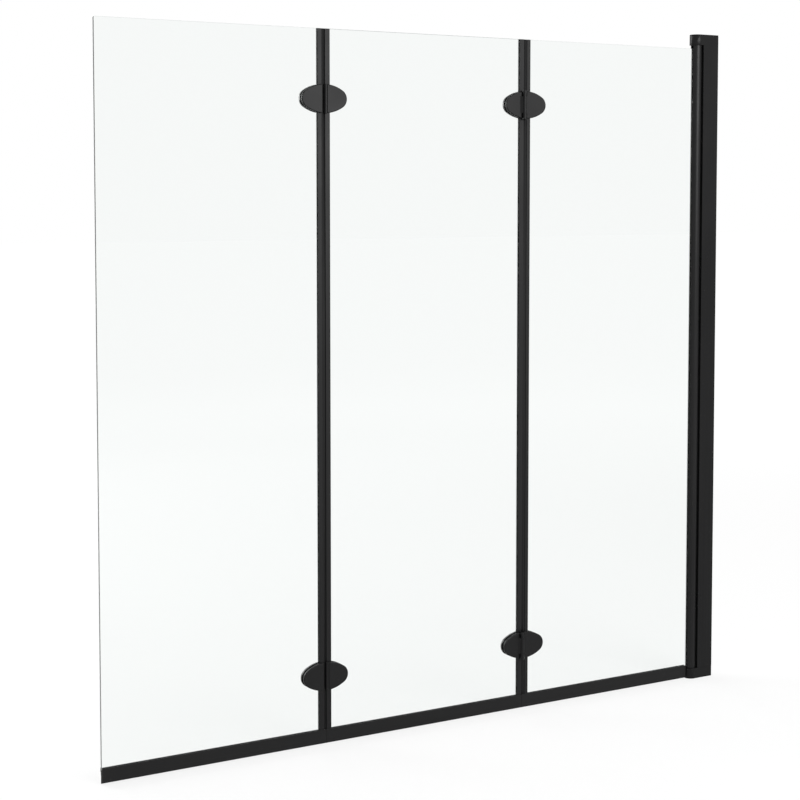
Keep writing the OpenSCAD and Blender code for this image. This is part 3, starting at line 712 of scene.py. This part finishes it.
class BATHSCREEN_OT_stage(bpy.types.Operator):
    """Sets the pale floor, the room light, the lamps and the camera"""

    bl_idname = "bath_screen.stage"
    bl_label = "Studio"

    def execute(self, context):
        studio = context.scene.bath_screen_studio
        self.floor(context, studio)
        self.room(context, studio.room_level)
        panes_left_out = self.panes_left_out()
        for softbox in SOFTBOXES:
            self.lamp(context, *softbox, panes_left_out)
        self.lamp(context, *RIM_LAMP, self.covers_alone())
        self.camera(context, studio)
        return {"FINISHED"}

    def rays_to_the_eye(self, tree):
        """1 on rays that end in the camera, by a reflection or through glass too, else 0."""
        path = tree.nodes.new("ShaderNodeLightPath")
        seen = add_node(
            tree, "ShaderNodeMath",
            {0: path.outputs["Is Camera Ray"], 1: path.outputs["Is Glossy Ray"]},
            operation="MAXIMUM",
        )
        through = add_node(
            tree, "ShaderNodeMath", {0: seen.outputs[0], 1: path.outputs["Is Transmission Ray"]},
            operation="MAXIMUM",
        )
        return through.outputs[0]

    def floor(self, context, studio):
        """A pale floor that keeps the object's shadow and runs out to white."""
        mesh = bpy.data.meshes.new("Floor")
        corners = ((-1, -1), (1, -1), (1, 1), (-1, 1))
        mesh.from_pydata(
            [(x * FLOOR_REACH, y * FLOOR_REACH, -FLOOR_DROP) for x, y in corners],
            [], [(0, 1, 2, 3)],
        )
        floor = bpy.data.objects.new("Floor", mesh)
        floor.location.x = FLOOR_CENTRE_X
        context.scene.collection.objects.link(floor)
        mat, tree, shader = new_material("Pale floor", Roughness=0.9, Specular_IOR_Level=0.0)
        shader.inputs["Emission Color"].default_value = WHITE
        seen = self.rays_to_the_eye(tree)
        place = add_node(tree, "ShaderNodeTexCoord")
        away = add_node(
            tree, "ShaderNodeVectorMath", {0: place.outputs["Object"]}, operation="LENGTH"
        )
        fill = add_node(
            tree, "ShaderNodeMapRange", {"Value": away.outputs["Value"]},
            interpolation_type="SMOOTHSTEP", from_min=FLOOR_NEAR_AT, from_max=FLOOR_FAR_AT,
            to_min=studio.floor_near, to_max=studio.floor_far,
        )
        level = add_node(
            tree, "ShaderNodeMath", {0: seen, 1: fill.outputs[0]}, operation="MULTIPLY"
        )
        base = add_node(
            tree, "ShaderNodeMapRange", {"Value": seen},
            to_min=FLOOR_BOUNCE, to_max=FLOOR_SEEN,
        )
        tree.links.new(level.outputs[0], shader.inputs["Emission Strength"])
        tree.links.new(base.outputs[0], shader.inputs["Base Color"])
        mesh.materials.append(mat)

    def room(self, context, level):
        """White to the eye, in reflections and through glass, and a plain level elsewhere."""
        world = bpy.data.worlds.new("Studio room")
        context.scene.world = world
        world.use_nodes = True
        tree = world.node_tree
        tree.nodes.clear()
        strength = add_node(
            tree, "ShaderNodeMapRange", {"Value": self.rays_to_the_eye(tree)},
            to_min=level, to_max=1.0,
        )
        back = add_node(
            tree, "ShaderNodeBackground", {"Color": WHITE, "Strength": strength.outputs[0]}
        )
        add_node(tree, "ShaderNodeOutputWorld", {"Surface": back.outputs[0]})

    def lamp(self, context, name, place, target, size, power, receivers):
        """A rectangular lamp that lights the receivers and isn't seen itself."""
        light = bpy.data.lights.new(name, "AREA")
        light.shape = "RECTANGLE"
        light.size, light.size_y = size
        light.energy = getattr(context.scene.bath_screen_studio, power)
        lamp = bpy.data.objects.new(name, light)
        lamp.location = place
        aim = Vector(target) - Vector(place)
        lamp.rotation_mode = "QUATERNION"
        lamp.rotation_quaternion = aim.to_track_quat("-Z", "Y")
        lamp.visible_camera = False
        lamp.light_linking.receiver_collection = receivers
        context.scene.collection.objects.link(lamp)

    def panes_left_out(self):
        """Receivers that keep the softboxes' mirror images off the panes."""
        panes = bpy.data.collections.new("Panes without lamp images")
        for node in GLASS_NODES:
            panes.objects.link(NODES[node])
        for entry in panes.collection_objects:
            entry.light_linking.link_state = "EXCLUDE"
        return panes

    def covers_alone(self):
        """Receivers of the rim lamp, which lights the hinge covers alone."""
        covers = bpy.data.collections.new("Hinge covers")
        for node in HINGE_COVERS:
            covers.objects.link(NODES[node])
        return covers

    def camera(self, context, studio):
        """The photo's view, and the plain view transform."""
        data = bpy.data.cameras.new("Camera")
        data.sensor_width = 36.0
        data.lens = studio.camera_lens
        data.shift_y = studio.camera_shift
        data.clip_start, data.clip_end = 0.05, 100.0
        camera = bpy.data.objects.new("Camera", data)
        camera.location = studio.camera_place
        yaw, pitch = studio.camera_yaw, studio.camera_pitch
        look = Vector((math.sin(yaw) * math.cos(pitch), math.cos(yaw) * math.cos(pitch),
                       -math.sin(pitch)))
        camera.rotation_mode = "QUATERNION"
        camera.rotation_quaternion = look.to_track_quat("-Z", "Y")
        context.scene.collection.objects.link(camera)
        context.scene.camera = camera
        context.scene.view_settings.view_transform = "Standard"


class BATHSCREEN_PT_panel(bpy.types.Panel):
    """Lists the pieces of the bath screen"""

    bl_idname = "BATHSCREEN_PT_panel"
    bl_label = "Bath Screen"
    bl_space_type = "VIEW_3D"
    bl_region_type = "UI"
    bl_category = "Bath Screen"

    def draw(self, context):
        for operator in PIECES:
            self.layout.operator(operator.bl_idname)


PIECES = (
    BATHSCREEN_OT_wall_post,
    BATHSCREEN_OT_pivot_tube,
    BATHSCREEN_OT_glass_panes,
    BATHSCREEN_OT_edge_profiles,
    BATHSCREEN_OT_seal_lips,
    BATHSCREEN_OT_bottom_rails,
    BATHSCREEN_OT_hinges,
    BATHSCREEN_OT_stage,
)
GROUPS = {
    "bath_screen_finishes": BathScreenFinishes,
    "bath_screen_edges": BathScreenEdges,
    "bath_screen_studio": BathScreenStudio,
}
CLASSES = (*GROUPS.values(), *PIECES, BATHSCREEN_PT_panel)


def register():
    for cls in CLASSES:
        bpy.utils.register_class(cls)
    for name, cls in GROUPS.items():
        setattr(bpy.types.Scene, name, PointerProperty(type=cls))


def unregister():
    for name in GROUPS:
        delattr(bpy.types.Scene, name)
    for cls in reversed(CLASSES):
        bpy.utils.unregister_class(cls)


def main():
    register()
    bpy.ops.bath_screen.wall_post()
    bpy.ops.bath_screen.pivot_tube()
    bpy.ops.bath_screen.glass_panes()
    bpy.ops.bath_screen.edge_profiles()
    bpy.ops.bath_screen.seal_lips()
    bpy.ops.bath_screen.bottom_rails()
    bpy.ops.bath_screen.hinges()
    bpy.ops.bath_screen.stage()
    bpy.context.view_layer.update()


if __name__ == "__main__":
    main()
